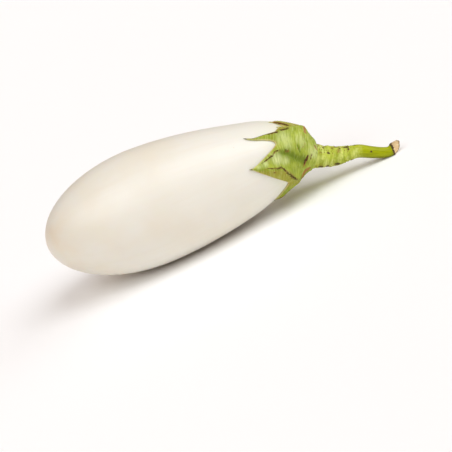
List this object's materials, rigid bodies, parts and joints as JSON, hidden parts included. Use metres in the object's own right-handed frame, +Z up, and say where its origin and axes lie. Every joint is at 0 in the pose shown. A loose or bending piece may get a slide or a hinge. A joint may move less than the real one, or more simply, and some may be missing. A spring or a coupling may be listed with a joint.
{
  "type": "white eggplant",
  "caption": "Whole white eggplant as picked, lying on its side: long egg-shaped fruit, lobed green calyx and a short cut stalk.",
  "frame": {"origin": "on the surface that the fruit lies on, under the middle of the whole object", "axes": "+X along the fruit from the blossom end to the stalk, +Z up, -Y towards the side with the longest lobes"},
  "size_m": [0.1958, 0.065, 0.065],
  "materials": {
    "skin": "satin",
    "calyx_green": "matte",
    "stalk_green": "satin"
  },
  "bodies": {
    "root": {"fruit": "skin", "calyx": "calyx_green", "stalk": "stalk_green"}
  },
  "joints": []
}
